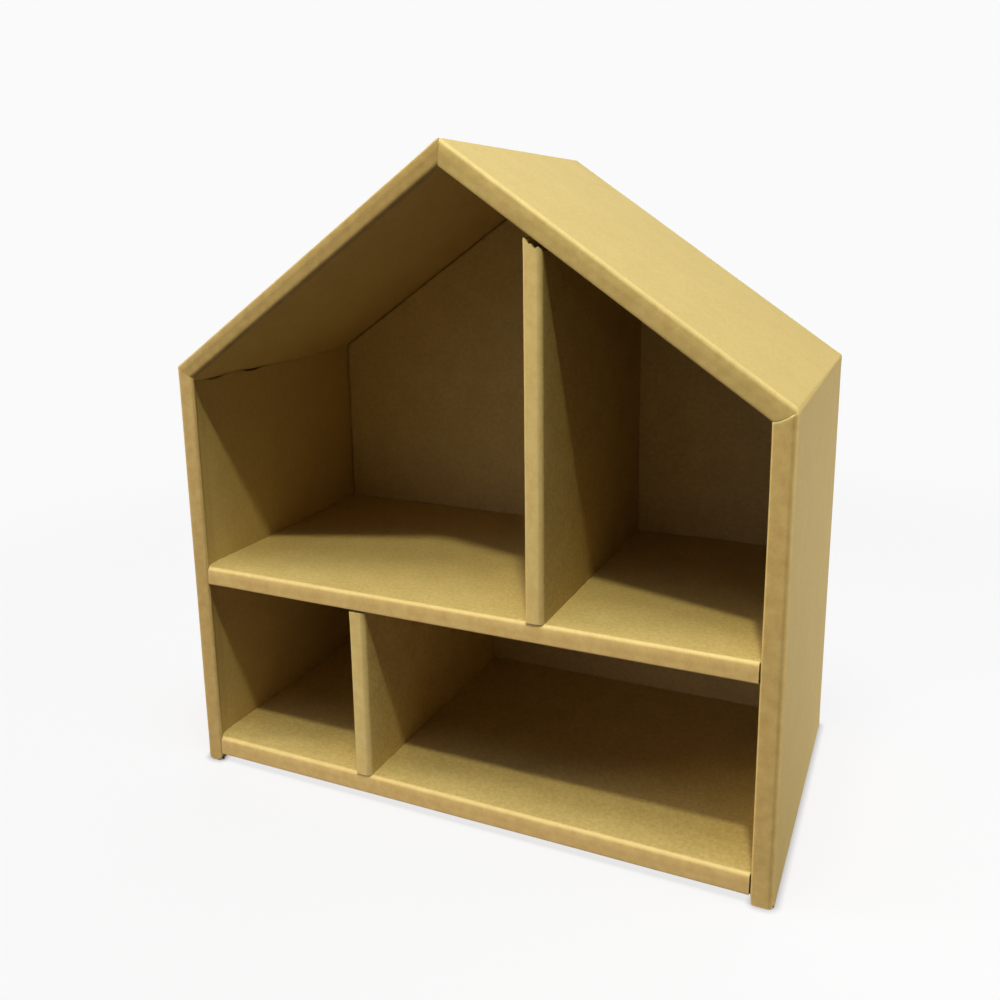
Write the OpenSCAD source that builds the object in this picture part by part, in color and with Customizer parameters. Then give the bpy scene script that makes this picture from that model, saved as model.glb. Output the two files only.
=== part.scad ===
// House shaped bookcase, folded from corrugated board.
// Every piece is a die-cut sheet that is folded over on itself, so that each side, shelf and divider
// is a hollow panel of two skins with a narrow strip of the same board across its front edge.
// The outer skins of the walls and the roof are one wrap: it is drawn here as its four folded sides,
// cut where the wrap creases, at the eaves and the ridge. Each side rolls over a soft fold at the
// front, runs across the front strip, and goes back inside as a lining that leans out towards the
// skin. The walls' linings drop back behind the strip, and the roof's sag, as the folded sheet does.
// A pan-shaped back is pushed in from behind and pinches the linings against the skins.
// Base, shelf and dividers are closed sleeves with tabs that lock into slots.
// Millimetres. X to the right, Y to the back, Z up; the origin is on the floor under the middle.

/* [House] */
// Width across the outer walls
house_w = 560; // [500:1:620]
// Depth from the front strips to the rear edge
house_d = 302; // [285:1:330]
// Height of the walls, up to the crease at the eaves
eave_h = 397.4; // [370:0.2:430]
// Rise of the ridge above the eaves
roof_rise = 193.6; // [160:0.2:220]

/* [Board] */
// Thickness of the corrugated board
board = 3; // [2.5:0.1:3.4]
// Outer radius of a fold that rolls over softly, along the front of the shelves
soft_fold = 4.6; // [3:0.1:6]
// Outer radius of the fold along the front of the walls and the roof
side_fold = 3; // [2:0.1:5]
// Outer radius of a deeply scored fold
sharp_fold = 1.8; // [0.5:0.1:3]
// Outer radius of the wrap's creases at the eaves and the ridge
wrap_fold = 4; // [2:0.5:8]

/* [Sides] */
// Thickness of a wall at its front strip, up to the corner of its sharp fold
wall_t = 20.4; // [17:0.2:24]
// Thickness of a wall behind its front strip, where the lining has dropped back
wall_mid_t = 13.4; // [12:0.2:15]
// Depth in which a wall's lining drops back
drop_d = 9.6; // [8:0.2:14]
// Thickness of a wall where its lining reaches the back
wall_rear_t = 6.4; // [6.2:0.2:7.4]
// Thickness of a roof side at its front strip
roof_t = 18.4; // [14:0.2:20]
// Thickness of a roof side where its lining sags most
roof_sag_t = 18.4; // [17:0.2:20]
// Thickness of a roof side where its lining reaches the back
roof_rear_t = 12.6; // [9:0.2:13]
// Depth of the recess behind the back
back_recess = 37; // [25:1:44]
// Size of the trimmed corners at the bottom of a wall's front strip
foot_trim = 4; // [1:0.5:5]

/* [Shelves] */
// Height of the base's underside above the floor
base_lift = 7.6; // [5:0.2:15]
// Thickness of the base
base_t = 18.4; // [15:0.2:20]
// Height of the lower compartments
lower_room_h = 161.4; // [140:0.2:180]
// Thickness of the middle shelf
shelf_t = 17.2; // [14:0.2:18]
// Gap between a shelf's left end and the wall lining
end_gap_left = 0.4; // [0.2:0.1:1]
// Gap between a shelf's right end and the wall lining
end_gap_right = 0.9; // [0.2:0.1:1]

/* [Dividers] */
// Thickness of both dividers
divider_t = 15.8; // [14:0.2:18]
// Middle of the upper divider, to the right of the middle of the house
upper_divider_x = 78.5; // [40:0.5:120]
// Middle of the lower divider, to the right of the middle of the house
lower_divider_x = -94.4; // [-140:0.5:-50]
// Gap between the upper divider's cut top and the roof lining
upper_gap = 3.5; // [1:0.5:6]
// Gap between the lower divider's cut top and the shelf
lower_gap = 1.4; // [0.6:0.2:3]
// Depth of the notches along the upper divider's rough cut top
cut_notch = 1.8; // [0.5:0.1:2.5]

/* [Tabs] */
// Width of a locking tab
tab_w = 50; // [36:1:60]
// How far a tab stands out past the board that it locks into
tab_out = 6; // [3:0.5:7]
// Distance from the front strip to the first tab on the end of a shelf or the foot of a divider
tab_first = 34; // [24:1:40]
// Distance between two tabs along the depth
tab_pitch = 96; // [80:1:110]
// Clearance round a tab in its slot
slot_fit = 0.5; // [0.3:0.1:0.8]
// Clearance between folded pieces that are glued or butted
seam = 0.2; // [0.1:0.05:0.4]
// Width of the slits at the corners of the back's flanges
flange_slit = 1.6; // [1:0.2:4]

/* [Hidden] */
FOLD_STEPS = 6;
ridge_h = eave_h + roof_rise;
roof_a = atan2(roof_rise, house_w / 2);
slope_l = norm([house_w / 2, roof_rise]);
base_top = base_lift + base_t;
shelf_z = base_top + lower_room_h;
shelf_top = shelf_z + shelf_t;
room_d = house_d - back_recess;
// The linings' faces from the strip to the rear edge: distance from the outer face, then depth.
wall_line = [[wall_t, 0], [wall_mid_t, drop_d], [wall_mid_t, room_d * 0.43],
    [(wall_mid_t + wall_rear_t) * 0.57, room_d * 0.72], [wall_rear_t, room_d - 9],
    [wall_rear_t, house_d]];
roof_line = [[roof_t, 0], [roof_t - 0.8, room_d * 0.25], [roof_sag_t, room_d * 0.45],
    [roof_sag_t, room_d * 0.64], [roof_rear_t, room_d - 6], [roof_rear_t, house_d]];
// What the rounding of the strip's sharp fold takes off its width, and the room's outline behind it.
fold_cut = sharp_fold * (tan((90 + atan((wall_t - wall_mid_t) / drop_d)) / 2) - 1);
strip_w = wall_t - fold_cut;
room_line = [[strip_w, 0], [strip_w, fold_cut * drop_d / (wall_t - wall_mid_t)],
    for (i = [1:len(wall_line) - 1]) wall_line[i]];
over = 40;
far = house_w / 2;
front_lap = board + 0.5;
back_reach = board + tab_out;
upper_x0 = upper_divider_x - divider_t / 2;
lower_x0 = lower_divider_x - divider_t / 2;
depth_tabs = [tab_first, tab_first + tab_pitch];
shelf_tab_x = house_w * 0.3;
lower_divider_h = lower_room_h - lower_gap;
kraft = "#C4A86C";
kraft_light = "#D8C27C";
kraft_strip = "#BA9F62";
kraft_dark = "#A8905A";

// ---- sheets folded along a path ----
function unit(v) = v / norm(v);
function left_of(v) = [-v.y, v.x];
function turned(v, a) = [v.x * cos(a) - v.y * sin(a), v.x * sin(a) + v.y * cos(a)];
function bend(a, b) = atan2(a.x * b.y - a.y * b.x, a * b);

// Points of a corner at q, between p and s, rounded to radius r.
function corner(p, q, s, r) =
    let (d1 = unit(q - p), d2 = unit(s - q), a = bend(d1, d2))
    r <= 0 || abs(a) < 1 ? [q] :
    let (n = left_of(d1) * sign(a), start = q - d1 * r * tan(abs(a) / 2), c = start + n * r)
    [for (i = [0:FOLD_STEPS]) c + turned(-n * r, a * i / FOLD_STEPS)];

// The same path, moved to its left by t.
function beside(path, t) =
    let (last = len(path) - 1, dirs = [for (i = [1:last]) unit(path[i] - path[i - 1])])
    [for (i = [0:last])
        let (n1 = left_of(dirs[max(i - 1, 0)]), n2 = left_of(dirs[min(i, last - 1)]))
        path[i] + (n1 + n2) * t / (1 + n1 * n2)];

function rounded(path, radii) =
    let (last = len(path) - 1)
    [for (i = [0:last]) each i == 0 || i == last ? [path[i]]
        : corner(path[i - 1], path[i], path[i + 1], radii[i])];

// Outline of a sheet with its outer face along the path and its body to the left of it.
function folded(path, radii, t = board) =
    concat(rounded(path, radii),
        [for (p = rounded_back(beside(path, t), [for (r = radii) max(r - t, 0)])) p]);
function rounded_back(path, radii) =
    let (pts = rounded(path, radii), last = len(pts) - 1) [for (i = [0:last]) pts[last - i]];

// Outline of a closed shape with rounded corners.
function rounded_loop(pts, radii) =
    let (n = len(pts))
    [for (i = [0:n - 1]) each corner(pts[(i + n - 1) % n], pts[i], pts[(i + 1) % n], radii[i])];

// ---- frames: x inward from an outer face, y to the back, z along the side ----
module placed() { translate([0, -house_d / 2, 0]) children(); }
module in_wall() { translate([-house_w / 2, 0, 0]) children(); }
module in_roof() { translate([-house_w / 2, 0, eave_h]) rotate([0, 90 - roof_a, 0]) children(); }
module to_right() { mirror([1, 0, 0]) children(); }
// A shape drawn in X and Z, given a depth along Y.
module deep(y0, y1) {
    translate([0, y1, 0]) rotate([90, 0, 0]) linear_extrude(y1 - y0) children();
}
// A shape drawn in Y and Z, given a length along X.
module long(x0, x1) { translate([x0, 0, 0]) rotate([90, 0, 90]) linear_extrude(x1 - x0) children(); }
module block(x0, x1, y0, y1, z0, z1) { translate([x0, y0, z0]) cube([x1 - x0, y1 - y0, z1 - z0]); }

// ---- the four sides ----
// Skin, front strip and lining in one fold, seen from the end of the side.
module side_profile(line) {
    radii = [0, side_fold, sharp_fold, for (i = [1:len(line) - 1]) 0];
    polygon(folded(concat([[0, house_d], [0, 0]], line), radii));
}

function roof_face_u(y) = lookup(y, [for (p = roof_line) [p.y, p.x]]);
// Height of the mitre at the eaves, at a distance u inside the wall's outer face.
eave_in_h = eave_h + strip_w * tan(roof_a) - roof_t / cos(roof_a);
function mitre_h(u) = eave_h + (eave_in_h - eave_h) * u / strip_w;

module wall_zone() {
    polygon([[-over, -over], [house_w / 2, -over],
        [house_w / 2, mitre_h(house_w / 2) - seam / 2], [-over, mitre_h(-over) - seam / 2]]);
}
module roof_zone() {
    polygon([[-over, mitre_h(-over) + seam / 2], [(house_w - seam) / 2, mitre_h(house_w / 2)],
        [(house_w - seam) / 2, ridge_h + over], [-over, ridge_h + over]]);
}
// The wrap's outer outline, with its creases rounded.
module wrap_outline() {
    polygon(rounded_loop([[-house_w / 2, 0], [house_w / 2, 0], [house_w / 2, eave_h],
        [0, ridge_h], [-house_w / 2, eave_h]], [0, 0, wrap_fold, wrap_fold, wrap_fold]));
}
// Everything above the underside of the left roof lining, moved down by c, from the depth y0 on.
module above_roof_lining(c, y0) {
    in_roof() translate([0, 0, -over]) linear_extrude(slope_l + 2 * over)
        polygon([[-far, y0], [roof_face_u(y0) + c, y0],
            for (p = roof_line) if (p.y > y0 && p.y < house_d) [p.x + c, p.y],
            [roof_rear_t + c, house_d + 1], [-far, house_d + 1]]);
}
// Slots in the left wall's lining for the end tabs of the base and the shelf.
module wall_slots() {
    for (top = [base_top, shelf_top], y = depth_tabs)
        block(board + 0.1, wall_t + 1, y - slot_fit, y + tab_w + slot_fit,
            top - board - slot_fit, top + slot_fit);
}
module foot_corner(w, h) {
    deep(-1, front_lap) polygon([[-1, h * (1 + 1 / w)], [-1, -1], [w * (1 + 1 / h), -1]]);
}
// The strip's foot has its outer and its inner corner trimmed, each by a width and a height.
module wall(outer, inner) {
    difference() {
        intersection() {
            in_wall() linear_extrude(eave_h + over) side_profile(wall_line);
            in_wall() deep(-1, house_d + 1) wall_zone();
            deep(-1, house_d + 1) wrap_outline();
        }
        intersection() {
            above_roof_lining(seam, front_lap - seam);
            in_wall() block(board + 0.05, wall_t + over, 0, house_d + 1, 0, ridge_h);
        }
        in_wall() wall_slots();
        in_wall() foot_corner(outer.x, outer.y);
        in_wall() translate([strip_w, 0, 0]) mirror([1, 0, 0]) foot_corner(inner.x, inner.y);
    }
}
module roof() {
    intersection() {
        in_roof() translate([0, 0, -over]) linear_extrude(slope_l + 2 * over)
            side_profile(roof_line);
        in_wall() union() {
            deep(-1, house_d + 1) roof_zone();
            // The lining runs on past the mitre and rests on top of the wall's lining.
            block(board + seam, (house_w - seam) / 2, front_lap, house_d + 1, 0, ridge_h);
        }
        deep(-1, house_d + 1) wrap_outline();
    }
}
module left_wall() {
    color(kraft_strip) placed() wall([2, 1.1] * foot_trim, [1.5, 1.3] * foot_trim);
}
module right_wall() {
    color(kraft_strip) placed() to_right() wall([0.5, 1] * foot_trim, [0.5, 2.4] * foot_trim);
}
module left_roof() { color(kraft_dark) placed() roof(); }
module right_roof() { color(kraft_light) placed() to_right() roof(); }

// ---- the back ----
// The five corners of the room, drawn in from the outer faces of walls, roof and floor.
function room_corners(wall_in, roof_in, floor_in) =
    let (x = house_w / 2 - wall_in, z = eave_h + wall_in * tan(roof_a) - roof_in / cos(roof_a))
    [[-x, floor_in], [x, floor_in], [x, z], [0, ridge_h - roof_in / cos(roof_a)], [-x, z]];
back_corners = room_corners(wall_rear_t + seam, roof_rear_t + seam, 0);
// Cuts that free the flanges from each other at the pan's corners.
module flange_slits() {
    n = len(back_corners);
    for (i = [0:n - 1])
        let (q = back_corners[i], d = unit(back_corners[(i + n - 1) % n] - q)
            + unit(back_corners[(i + 1) % n] - q))
        translate([q.x, room_d + board, q.y]) rotate([0, -atan2(d.y, d.x), 0])
            translate([-board, 0, -flange_slit / 2]) cube([4 * board, house_d, flange_slit]);
}
module shelf_rear_tabs(top, grow) {
    for (x = [-shelf_tab_x, shelf_tab_x])
        block(x - tab_w / 2 - grow, x + tab_w / 2 + grow, room_d - 4 * board,
            room_d + back_reach, top - board - grow, top + grow);
}
module divider_rear_tab(x0, mid, grow) {
    block(x0 - grow, x0 + board + grow, room_d - 4 * board, room_d + back_reach,
        mid - tab_w / 2 - grow, mid + tab_w / 2 + grow);
}
lower_tab_z = base_top + lower_room_h / 2;
upper_tab_z = [shelf_top + tab_w, shelf_top + 3.2 * tab_w];
module back_panel() {
    color(kraft) placed() difference() {
        deep(room_d, house_d) polygon(back_corners);
        deep(room_d + board, house_d + 1)
            polygon(room_corners(wall_rear_t + seam + board, roof_rear_t + seam + board, board));
        flange_slits();
        shelf_rear_tabs(base_top, slot_fit);
        shelf_rear_tabs(shelf_top, slot_fit);
        divider_rear_tab(lower_x0, lower_tab_z, slot_fit);
        for (z = upper_tab_z) divider_rear_tab(upper_x0, z, slot_fit);
    }
}

// ---- sleeves: base, shelf and dividers ----
rear_y = room_d - seam;
// Plan of the room between the linings, where a shelf lies.
module shelf_plan() {
    last = len(room_line) - 1;
    polygon([for (p = room_line) [p.x + end_gap_left - house_w / 2, p.y],
        for (i = [0:last]) let (p = room_line[last - i]) [house_w / 2 - p.x - end_gap_right, p.y]]);
}
// A shelf folded round from its rear edge: top skin, front strip, bottom skin, rear strip.
module shelf_sleeve(z0, t) {
    path = [[rear_y, z0 + t], [0, z0 + t], [0, z0], [rear_y, z0], [rear_y, z0 + t - board - seam]];
    intersection() {
        long(-house_w / 2, house_w / 2) polygon(folded(path, [0, soft_fold, sharp_fold, sharp_fold, 0]));
        translate([0, 0, z0 - 1]) linear_extrude(t + 2) shelf_plan();
    }
    tab_end = house_w / 2 - board - 3 * seam;
    for (y = depth_tabs) block(-tab_end, tab_end, y, y + tab_w, z0 + t - board, z0 + t);
    shelf_rear_tabs(z0 + t, 0);
}
// Tabs at the foot or the top of a divider, in its left skin, and their slots.
module divider_end_tabs(x0, z0, z1, grow) {
    for (y = depth_tabs)
        block(x0 - grow, x0 + board + grow, y - grow, y + tab_w + grow, z0, z1);
}
module base_panel() {
    color(kraft) placed() difference() {
        shelf_sleeve(base_lift, base_t);
        divider_end_tabs(lower_x0, base_top - board - 1, base_top + 1, slot_fit);
    }
}
module middle_shelf() {
    color(kraft) placed() difference() {
        shelf_sleeve(shelf_z, shelf_t);
        divider_end_tabs(upper_x0, shelf_top - board - 1, shelf_top + 1, slot_fit);
        divider_end_tabs(lower_x0, shelf_z - 1, shelf_z + board + 1, slot_fit);
    }
}
// A divider folded round from its rear edge: left skin, front strip, right skin, rear strip.
module divider_sleeve(x0, z0, z1) {
    path = [[x0, rear_y], [x0, 0], [x0 + divider_t, 0], [x0 + divider_t, rear_y],
        [x0 + board + seam, rear_y]];
    translate([0, 0, z0]) linear_extrude(z1 - z0)
        polygon(folded(path, [0, sharp_fold, soft_fold / 2, sharp_fold, 0]));
}
// Notches where the board's flutes were chopped through, along the front strip's cut top.
module rough_cut() {
    pitch = divider_t / 4;
    for (i = [1, 2]) let (x = upper_x0 + pitch * (2 * i - 0.6), z = ridge_h - x * tan(roof_a)
        - (roof_t + upper_gap) / cos(roof_a))
        translate([x, 0, z]) rotate([0, roof_a, 0])
            deep(-1, board + 1) polygon([[-pitch * 0.6, 1], [0, -cut_notch], [pitch * 0.5, 1]]);
}
module upper_divider() {
    color(kraft_strip) placed() {
        difference() {
            divider_sleeve(upper_x0, shelf_top, ridge_h);
            to_right() above_roof_lining(upper_gap, 0);
            to_right() in_roof() translate([-far, -1, 0]) cube([far + roof_t + upper_gap, 2, slope_l]);
            rough_cut();
        }
        divider_end_tabs(upper_x0, shelf_top - board - tab_out, shelf_top + 2 * board, 0);
        for (z = upper_tab_z) divider_rear_tab(upper_x0, z, 0);
    }
}
module lower_divider() {
    color(kraft_strip) placed() {
        divider_sleeve(lower_x0, base_top, base_top + lower_divider_h);
        divider_end_tabs(lower_x0, base_top - board - tab_out, base_top + 2 * board, 0);
        divider_end_tabs(lower_x0, shelf_z - 4 * board, shelf_z + board + tab_out, 0);
        divider_rear_tab(lower_x0, lower_tab_z, 0);
    }
}

left_wall();
right_wall();
left_roof();
right_roof();
back_panel();
base_panel();
middle_shelf();
upper_divider();
lower_divider();
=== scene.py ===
"""Looks of a house shaped bookcase that is folded from kraft corrugated board.

Every piece is one die-cut sheet, swept along its length from a folded cross-section: four sides of the
outer wrap, a pan-shaped back, two shelves and two dividers. Sizes are in millimetres and follow the CAD
model; meshes are made in metres in the same frame, with the front at -Y and the floor at Z = 0.
"""

from __future__ import annotations

import logging
import math
from abc import ABC, abstractmethod
from collections import defaultdict
from dataclasses import dataclass, field
from enum import Enum, IntEnum
from functools import partial
from typing import Sequence

import bmesh
import bpy
from bpy.types import Mesh, Node, NodeSocket, NodeTree, Object
from mathutils import Matrix, Vector, noise

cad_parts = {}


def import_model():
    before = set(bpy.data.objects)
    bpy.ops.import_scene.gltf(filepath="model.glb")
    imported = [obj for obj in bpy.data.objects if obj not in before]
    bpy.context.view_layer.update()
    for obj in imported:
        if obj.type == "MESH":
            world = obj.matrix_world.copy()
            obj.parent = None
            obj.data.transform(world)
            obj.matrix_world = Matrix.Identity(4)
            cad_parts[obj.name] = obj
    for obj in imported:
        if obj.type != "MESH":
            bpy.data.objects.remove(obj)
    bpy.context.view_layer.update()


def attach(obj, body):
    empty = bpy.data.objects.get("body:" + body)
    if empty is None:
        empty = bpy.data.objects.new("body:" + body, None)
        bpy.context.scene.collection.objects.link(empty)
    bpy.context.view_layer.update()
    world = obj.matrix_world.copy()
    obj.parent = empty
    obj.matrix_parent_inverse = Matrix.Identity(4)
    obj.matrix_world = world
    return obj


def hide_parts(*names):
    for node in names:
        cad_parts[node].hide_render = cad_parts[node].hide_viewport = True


log = logging.getLogger("bookcase")

MM = 0.001
ROOT = "root"

Pair = tuple[float, float]
Triple = tuple[float, float, float]
# From where to where a value goes, and what it is turned to there.
Ramp = tuple[float, float, float, float]
# Linear red, green, blue and alpha.
Colour = tuple[float, float, float, float]
# Radius of a bend, its number of steps and how much burnish and painted highlight its paper takes.
Bend = tuple[float, int, float]


# ---- sizes, in millimetres


@dataclass(frozen=True)
class House:
    """The outer house and the board that it is folded from."""

    width: float = 560.0
    depth: float = 302.0
    eave: float = 397.4
    rise: float = 193.6
    board: float = 3.0
    flute_pitch: float = 6.0
    room_depth: float = 265.0
    seam: float = 0.2
    # What a point of a front strip may stick out behind it.
    hair: float = 0.5
    # The walls' strip up to the corner of its sharp fold, and the width that the rounded fold leaves.
    wall_corner: float = 20.4
    wall_front: float = 18.65
    # A wall's thickness behind its strip and at the back.
    wall_mid: float = 13.4
    wall_rear: float = 6.4
    # The lining's drop behind the strip, what is left of it at its first turn, and where it turns.
    drop: float = 9.6
    drop_left: float = 2.0
    drop_turns: Pair = (0.7, 1.9)
    # Where the lining leans out, as shares of the room's depth, and how thick the wall is half way.
    lean_turns: Pair = (0.43, 0.72)
    lean_share: float = 0.57
    # A roof side's thickness at its strip, where its lining sags, and at the back.
    roof_front: float = 18.4
    roof_dip: float = 0.8
    roof_sag: float = 18.4
    roof_rear: float = 12.6
    sag_turns: Triple = (0.25, 0.45, 0.64)
    # How far before the back the linings of walls and roof have reached their rear thickness.
    wall_heel: float = 9.0
    roof_heel: float = 6.0
    # How far the tabs start before the back's face, and how far behind it they end.
    tab_root: float = 2.0
    tab_reach: float = 9.0

    @property
    def half(self) -> float:
        """Half the width."""
        return self.width / 2

    @property
    def ridge(self) -> float:
        """Height of the ridge, before its fold is rounded."""
        return self.eave + self.rise

    @property
    def slope(self) -> float:
        """Tangent of the roof's pitch."""
        return self.rise / self.half

    @property
    def pitch(self) -> float:
        """The roof's pitch in radians."""
        return math.atan(self.slope)

    @property
    def strip_depth(self) -> float:
        """Depth up to which a point belongs to a front strip."""
        return self.board + self.hair

    @property
    def wall_line(self) -> list[Vector]:
        """Face of a wall's lining: distance from the outer face, then depth."""
        room, mid, rear = self.room_depth, self.wall_mid, self.wall_rear
        return [Vector(p) for p in (
            (self.wall_corner, 0),
            (mid + self.drop_left, self.drop * self.drop_turns[0]),
            (mid, self.drop * self.drop_turns[1]),
            (mid, room * self.lean_turns[0]),
            ((mid + rear) * self.lean_share, room * self.lean_turns[1]),
            (rear, room - self.wall_heel),
            (rear, self.depth),
        )]

    @property
    def roof_line(self) -> list[Vector]:
        """Face of a roof side's lining: distance from the outer face, then depth."""
        dip, sag, lift = (self.room_depth * share for share in self.sag_turns)
        return [Vector(p) for p in (
            (self.roof_front, 0),
            (self.roof_front - self.roof_dip, dip),
            (self.roof_sag, sag),
            (self.roof_sag, lift),
            (self.roof_rear, self.room_depth - self.roof_heel),
            (self.roof_rear, self.depth),
        )]

    def mitre(self, u: float) -> float:
        """Height of the mitre of wall and roof strip, at a distance u inside a wall's outer face."""
        return self.eave + (self.slope - self.roof_front / math.cos(self.pitch) / self.wall_front) * u

    def roof_face(self, y: float) -> float:
        """Distance from the roof's outer face to its lining's face at the depth y."""
        return along_line(self.roof_line, y)

    def wall_face(self, y: float) -> float:
        """Distance from a wall's outer face to its lining's face at the depth y."""
        return min(self.wall_front, along_line(self.wall_line, y))


def along_line(line: Sequence[Vector], y: float) -> float:
    """Reads the first coordinate of a line of points at the second coordinate y.

    Args:
        line: points in rising order of their second coordinate.
        y: where to read.

    Returns:
        The value between the two nearest points.
    """
    for a, b in zip(line, line[1:]):
        if y <= b.y:
            return a.x + (b.x - a.x) * max(0.0, y - a.y) / (b.y - a.y)
    return line[-1].x


HOUSE = House()


class Hand(Enum):
    """Which side of the house a piece is on."""

    LEFT = -1
    RIGHT = 1


# ---- colours and nodes


def linear(hex_colour: str) -> Colour:
    """Turns an sRGB hex colour to the linear colour that the shaders take.

    Args:
        hex_colour: a colour such as "#C9AE6C".

    Returns:
        Linear red, green, blue and an alpha of 1.
    """
    parts = [int(hex_colour[i : i + 2], 16) / 255 for i in (1, 3, 5)]
    r, g, b = (c / 12.92 if c <= 0.04045 else ((c + 0.055) / 1.055) ** 2.4 for c in parts)
    return r, g, b, 1.0


def feed(node: Node, inputs: dict[str | int, object] | Sequence[object]) -> None:
    """Sets sockets of a node to values, or links them from other nodes.

    Args:
        node: the node.
        inputs: values or output sockets, in the sockets' order or by their names or numbers.
    """
    for key, value in inputs.items() if isinstance(inputs, dict) else enumerate(inputs):
        if isinstance(value, NodeSocket):
            node.id_data.links.new(value, node.inputs[key])
        else:
            node.inputs[key].default_value = value


def add_node(
    tree: NodeTree,
    kind: str,
    inputs: dict[str | int, object] | Sequence[object] = (),
    out: str | int = 0,
    **settings: object,
) -> NodeSocket:
    """Adds a node with its settings, socket values and links.

    Args:
        tree: the node tree.
        kind: the node's type name, without "ShaderNode".
        inputs: values or output sockets, in the sockets' order or by their names or numbers.
        out: name or number of the output that is wanted.
        settings: attributes of the node.

    Returns:
        That output socket of the new node.
    """
    node = tree.nodes.new("ShaderNode" + kind)
    for key, value in settings.items():
        setattr(node, key, value)
    feed(node, inputs)
    return node.outputs[out]


def flutes(tree: NodeTree, across: NodeSocket) -> NodeSocket:
    """Draws the rise and fall of the board's flutes.

    Args:
        tree: the node tree.
        across: distance across the flutes, in metres.

    Returns:
        A wave from -1 to 1.
    """
    turn = 2 * math.pi / (HOUSE.flute_pitch * MM)
    phase = add_node(tree, "Math", (across, turn), operation="MULTIPLY")
    return add_node(tree, "Math", (phase,), operation="SINE")


class Finish(ABC):
    """A surface finish that makes its own procedural material."""

    name: str

    @abstractmethod
    def nodes(self, tree: NodeTree, shader: Node) -> None:
        """Builds the material's nodes round its Principled shader."""

    def material(self) -> bpy.types.Material:
        """Returns the material, made the first time that it is asked for."""
        found = bpy.data.materials.get(self.name)
        if found:
            return found
        made = bpy.data.materials.new(self.name)
        made.use_nodes = True
        self.nodes(made.node_tree, made.node_tree.nodes["Principled BSDF"])
        log.info("material %s", self.name)
        return made


@dataclass(frozen=True)
class KraftLiner(Finish):
    """Unbleached kraft liner: calendered paper over flutes, smooth and faintly glossy.

    The eye reads it by its even warm brown with a fine grain of fibres and a few specks, by the front
    strips, which are a little redder and blotchy from the roller and carry painted light that makes them
    lighter than the lamps alone would, and by the paler paper along each fold, which is burnish with a
    painted highlight.
    """

    name: str = "kraft_liner"
    light: str = "#CEB67F"
    dark: str = "#C3AA73"
    # The front strips' colours hold painted light: they are lighter than the body, standing in for light that
    # the front faces lack, and a little redder.
    strip_light_with_painted_light: str = "#DABB80"
    strip_dark_with_painted_light: str = "#CBA86E"
    # The folds' pale colour is burnish with a painted highlight along the crests.
    fold: str = "#EADAA6"
    speck: str = "#A88A52"
    # Each pattern's width in millimetres and its detail. Real fibres are about 0.05 mm wide: they are
    # drawn coarser, as clumps that show in the render.
    cloud: Pair = (30.0, 2.0)
    blotch: Pair = (9.0, 2.0)
    mottle: Pair = (3.4, 1.5)
    fibre: Pair = (1.4, 3.0)
    fleck: Pair = (1.1, 1.0)
    # Shares of the finer pattern: fibre in mottle, both in cloud, and fibre in the strips' blotches.
    fibre_share: float = 0.5
    fine_share: float = 0.8
    strip_share: float = 0.35
    # Where each pattern starts to show and where it shows in full.
    tone_limits: Pair = (0.38, 0.62)
    strip_limits: Pair = (0.36, 0.64)
    fleck_limits: Ramp = (0.68, 0.78, 0.0, 0.3)
    wear_and_highlight_limits: Ramp = (0.3, 0.7, 0.45, 0.85)
    roughness: float = 0.56
    fold_roughness: float = 0.42
    fibre_roughness: float = 0.08
    ior: float = 1.5
    wave_height_mm: float = 0.012
    grain_height_mm: float = 0.05
    grain_strength: float = 0.4

    def nodes(self, tree: NodeTree, shader: Node) -> None:
        """Builds the paper's colour, gloss and relief.

        Args:
            tree: the material's node tree.
            shader: its Principled shader.
        """
        add = partial(add_node, tree)
        place = add("TexCoord", out="Object")
        cloud, blotch, mottle, fibre, fleck = (
            add("TexNoise", {"Vector": place, "Scale": 1 / (size * MM), "Detail": detail})
            for size, detail in (self.cloud, self.blotch, self.mottle, self.fibre, self.fleck))
        front, crease, across = (
            add("Attribute", out="Fac", attribute_name=name) for name in ("front", "crease", "across"))
        fine = add("Mix", {0: self.fibre_share, 2: mottle, 3: fibre}, data_type="FLOAT")
        even = add("Mix", {0: self.fine_share, 2: cloud, 3: fine}, data_type="FLOAT")
        uneven = add("Mix", {0: self.strip_share, 2: blotch, 3: fibre}, data_type="FLOAT")
        # The front strips get their own colour, lighter as painted light; where the front mark is set it
        # covers the body.
        body, rolled = (
            add("Mix", {0: add("MapRange", (pattern, *limits)), 6: linear(dark), 7: linear(light)}, 2,
                data_type="RGBA")
            for pattern, limits, dark, light in (
                (even, self.tone_limits, self.dark, self.light),
                (uneven, self.strip_limits, self.strip_dark_with_painted_light, self.strip_light_with_painted_light)))
        flecked = add("MapRange", (fleck, *self.fleck_limits))
        # Along the folds the pale fold colour is mixed in: burnish, with a painted highlight.
        wear_and_highlight = add("Math", (crease, add("MapRange", (fibre, *self.wear_and_highlight_limits))), operation="MULTIPLY")
        colour = body
        for share, over in ((front, rolled), (flecked, linear(self.speck)), (wear_and_highlight, linear(self.fold))):
            colour = add("Mix", {0: share, 6: colour, 7: over}, 2, data_type="RGBA")
        gloss = add("MapRange", (crease, 0.0, 1.0, self.roughness, self.fold_roughness))
        rough = add("Math", (fibre, self.fibre_roughness, gloss), operation="MULTIPLY_ADD")
        # The flutes' rise and fall shows through the liner as waves across the board.
        washboard = add("Bump", {
            "Height": flutes(tree, across), "Distance": self.wave_height_mm * MM, "Strength": 1.0})
        grain = add("Bump", {
            "Height": fibre, "Distance": self.grain_height_mm * MM, "Strength": self.grain_strength,
            "Normal": washboard})
        feed(shader, {"Base Color": colour, "Roughness": rough, "IOR": self.ior, "Normal": grain})


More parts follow.
